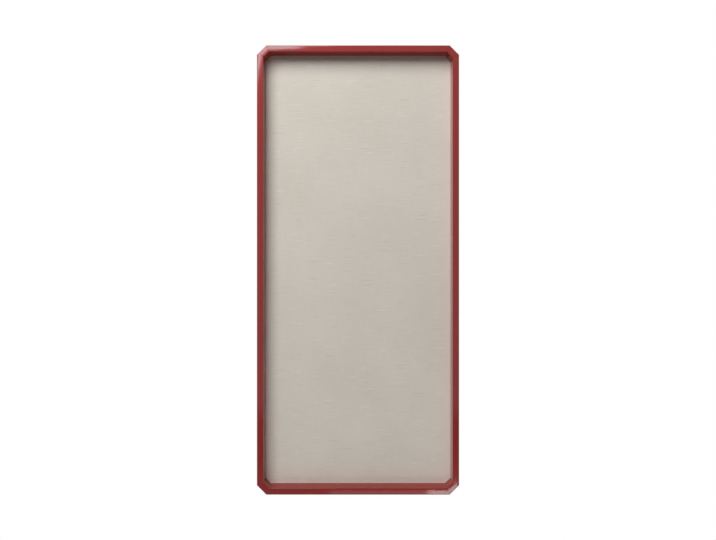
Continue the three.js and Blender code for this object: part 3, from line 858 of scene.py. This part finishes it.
def build_rings():
    """The rings, each leaning on its strap as it hangs, and swinging with its own joint."""
    points, faces = ring_surface()
    lift = 2 * STRIP_THICKNESS + CLEARANCE + RING_WIRE - BARREL_RADIUS
    tilt = math.asin(lift / RING_REACH)
    x, y, z = points.T
    cos, sin = math.cos(tilt), math.sin(tilt)
    leaning = np.stack([x, y * cos - z * sin, y * sin + z * cos], axis=1)
    for body, pivot in PIVOTS.items():
        if body.startswith("hanger_ring"):
            name = body.replace("hanger_ring", "hanging_ring")
            piece(name, leaning + np.array(pivot), faces, (ZINC,), body, [body])


def pad_surface():
    """A squat pad on y = 0: stations of (radius, height) spun round Y, with a rounded arris at the wall."""
    around, height = 40, -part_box("wall_pad_top_left")[0].y
    top = PAD_RADIUS - PAD_TAPER
    stations = np.concatenate(
        [
            straight((0, 0), (PAD_RADIUS, 0), 4),
            straight((PAD_RADIUS, 0), (top, height - PAD_ARRIS), 6),
            curve((top, height - PAD_ARRIS), (top, height), (top - PAD_ARRIS, height), 7),
            straight((top - PAD_ARRIS, height), (0, height), 5),
            [(0, height)],
        ]
    )
    angle = 2 * np.pi * np.arange(around) / around
    x, z = stations[:, 0, None] * np.cos(angle), stations[:, 0, None] * np.sin(angle)
    y = np.broadcast_to(stations[:, 1, None], x.shape)
    return np.stack([x, y, z], axis=-1).reshape(-1, 3), quads(len(stations), around, wrap_columns=True)


def build_pads():
    points, faces = pad_surface()
    for node in sorted(frame["nodes"]):
        if node.startswith("wall_pad"):
            low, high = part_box(node)
            place = ((low.x + high.x) / 2, low.y, (low.z + high.z) / 2)
            name = node.replace("wall_pad", "rubber_pad")
            piece(name, points + np.array(place), faces, (RUBBER,), "board", [node])


def dress_kept_nodes():
    """Finishes for the nodes whose CAD shape is shown as it is."""
    finishes = {
        "backing_panel": brown_hardboard(),
        "pin_core": wood_fibre(),
        **{f"mitre_key_{n}": None for n in range(1, 9)},
    }
    beech = plain_wood("beech", (0.58, 0.43, 0.28), (0.45, 0.31, 0.18))
    for node, finish in finishes.items():
        mesh = frame["nodes"][node].data
        mesh.materials.clear()
        mesh.materials.append(finish or beech)


def softbox(name, low, high, radiance, aim="+Y", lean=0.0, colour=(1, 1, 1)):
    """A rectangular lamp that fills the flat box from low to high and shines along aim. It may lean about its
    middle, the way that carries +X towards -Z."""
    low, high = Vector(low), Vector(high)
    axis, degrees, across, up = {
        "+Y": ("X", 90, 0, 2),
        "-Y": ("X", -90, 0, 2),
        "-X": ("Y", 90, 2, 1),
    }[aim]
    span = high - low
    lamp = bpy.data.lights.new(name, "AREA")
    lamp.shape = "RECTANGLE"
    lamp.size, lamp.size_y = span[across], span[up]
    lamp.energy = radiance * math.pi * span[across] * span[up]
    lamp.color = colour
    holder = bpy.data.objects.new(name, lamp)
    facing = Matrix.Rotation(math.radians(degrees), 4, axis)
    leaning = Matrix.Rotation(math.radians(lean), 4, "Y")
    holder.matrix_world = Matrix.Translation((low + high) / 2) @ leaning @ facing
    holder.visible_camera = False
    bpy.context.scene.collection.objects.link(holder)


def seen_directly(tree):
    """A value that is 1 where the camera sees a surface, straight or in gloss or through glass, and
    otherwise 0."""
    rays = tree.nodes.new("ShaderNodeLightPath")
    total = rays.outputs["Is Camera Ray"]
    for kind in ("Is Glossy Ray", "Is Transmission Ray"):
        most = tree.nodes.new("ShaderNodeMath")
        most.operation = "MAXIMUM"
        tree.links.new(total, most.inputs[0])
        tree.links.new(rays.outputs[kind], most.inputs[1])
        total = most.outputs["Value"]
    return total


def studio():
    """Camera, lamps and white surroundings."""
    scene = bpy.context.scene
    scene.view_settings.view_transform = "Standard"
    camera_data = bpy.data.cameras.new("camera")
    camera_data.sensor_width = SENSOR
    camera_data.lens = CAMERA_LENS
    camera_data.shift_y = -CAMERA_RISE * PIXELS_PER_METRE / PHOTO_PIXELS
    camera = bpy.data.objects.new("camera", camera_data)
    camera.location = (0, FRONT - CAMERA_DISTANCE, CAMERA_RISE)
    camera.rotation_euler = (math.pi / 2, 0, 0)
    scene.collection.objects.link(camera)
    scene.camera = camera

    for name, low, high, radiance, hung in LAMPS:
        softbox(name, low, high, radiance, **hung)

    world = bpy.data.worlds.new("studio")
    scene.world = world
    world.use_nodes = True
    tree = world.node_tree
    tree.nodes.clear()
    output = tree.nodes.new("ShaderNodeOutputWorld")
    ambient = tree.nodes.new("ShaderNodeBackground")
    ambient.inputs["Color"].default_value = AMBIENT_COLOUR
    ambient.inputs["Strength"].default_value = AMBIENT_STRENGTH
    white = tree.nodes.new("ShaderNodeBackground")
    white.inputs["Color"].default_value = (1, 1, 1, 1)
    white.inputs["Strength"].default_value = 1.0
    mix = tree.nodes.new("ShaderNodeMixShader")
    tree.links.new(seen_directly(tree), mix.inputs[0])
    tree.links.new(ambient.outputs["Background"], mix.inputs[1])
    tree.links.new(white.outputs["Background"], mix.inputs[2])
    tree.links.new(mix.outputs["Shader"], output.inputs["Surface"])


def pale_floor():
    """A plain pale floor below the board, short enough behind it to stay under the photograph's view."""
    near, far, half = FLOOR_NEAR, FLOOR_FAR, FLOOR_HALF_WIDTH
    points = [(x, y, -FLOOR_DROP) for x, y in ((-half, near), (half, near), (half, far), (-half, far))]
    mesh = bpy.data.meshes.new("floor")
    mesh.from_pydata(points, [], [(0, 1, 2, 3)])
    finish = Finish("pale_floor", (0.86, 0.86, 0.85), 0.8, Specular_IOR_Level=0.2)
    haze = finish.noise(finish.place((3, 3, 3)), detail=3)
    finish.wear("Base Color", finish.between(haze, (0.84, 0.84, 0.83), (0.88, 0.88, 0.87)))
    finish.shader.inputs["Emission Color"].default_value = (1, 1, 1, 1)
    finish.wear("Emission Strength", finish.product(seen_directly(finish.tree), FLOOR_GLOW))
    mesh.materials.append(finish.material)
    floor = bpy.data.objects.new("floor", mesh)
    bpy.context.scene.collection.objects.link(floor)


studio()
build_frame()
linen_cover()
build_buttons()
build_straps()
build_rings()
build_pads()
dress_kept_nodes()
pale_floor()
